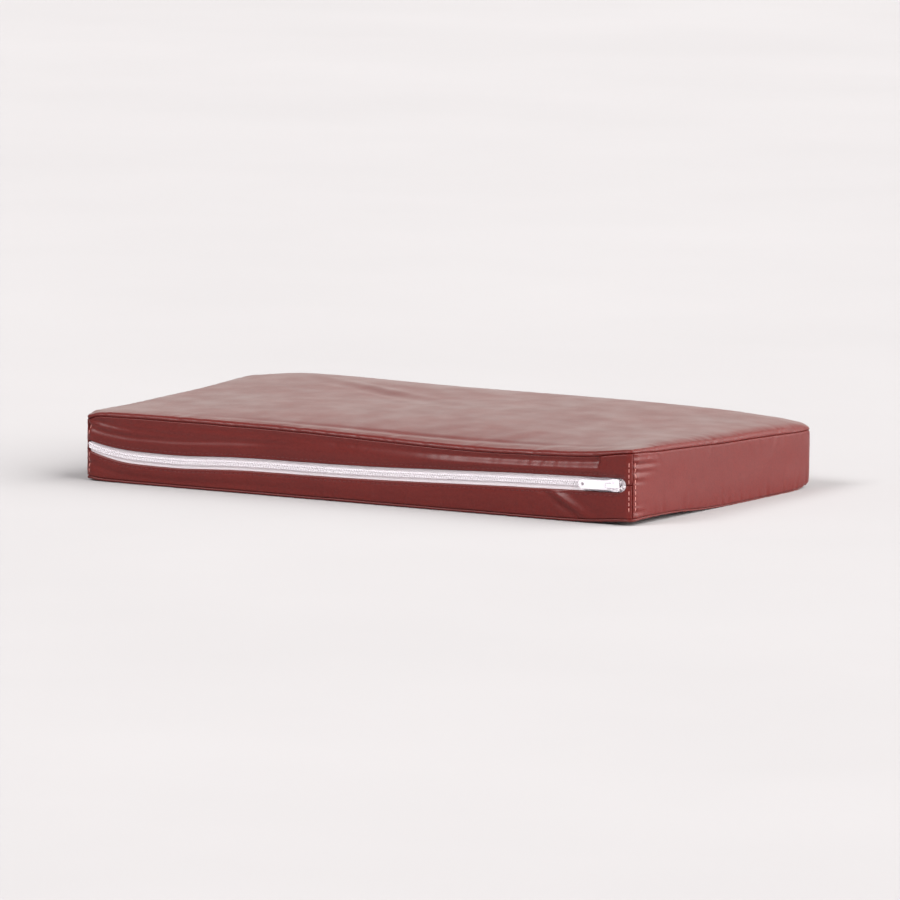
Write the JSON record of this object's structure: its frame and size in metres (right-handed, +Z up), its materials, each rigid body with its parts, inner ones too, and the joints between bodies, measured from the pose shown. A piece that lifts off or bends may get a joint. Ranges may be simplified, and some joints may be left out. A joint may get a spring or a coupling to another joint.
{
  "type": "head pillow",
  "caption": "Flat rectangular foam head pillow for a massage table, in a boxed coated-cloth cover with a long zip along one side.",
  "frame": {"origin": "under the centre of the pillow, on the surface that it rests on", "axes": "+X along the length towards the zip's closed end, +Y from the zip side to the back, +Z up"},
  "size_m": [0.415, 0.2436, 0.046],
  "materials": {
    "cover": "satin",
    "foam": "matte",
    "thread": "satin",
    "zip_tape": "matte",
    "zip_coil": "satin",
    "coil_cord": "matte",
    "slider": "gloss",
    "spring": "satin"
  },
  "bodies": {
    "cover": {"foam_core": "foam", "top_panel": "cover", "bottom_panel": "cover", "boxing_strip": "cover", "upper_facing": "cover", "lower_facing": "cover", "top_seam_thread": "thread", "bottom_seam_thread": "thread", "left_corner_stitches": "thread", "right_corner_stitches": "thread", "upper_zip_stitches": "thread", "lower_zip_stitches": "thread", "upper_zip_tape": "zip_tape", "lower_zip_tape": "zip_tape", "upper_zip_coil": "zip_coil", "lower_zip_coil": "zip_coil", "upper_coil_cord": "coil_cord", "lower_coil_cord": "coil_cord"},
    "slider": {"slider_body": "slider", "slider_cap": "slider", "lock_spring": "spring"},
    "tab": {"pull_tab": "slider"}
  },
  "joints": [
    {"name": "slider_travel", "type": "slide", "parent": "cover", "child": "slider", "axis": [-0.9998, 0, -0.0217], "range_m": [0, 0.367], "deforming": ["upper_zip_coil", "lower_zip_coil", "upper_coil_cord", "lower_coil_cord"]},
    {"name": "pull_tab_swing", "type": "hinge", "parent": "slider", "child": "tab", "pos_m": [0.19245, -0.1218, 0.02567], "axis": [-0.0217, 0, 0.9998], "range_deg": [0, 180], "deforming": ["lock_spring"]}
  ]
}
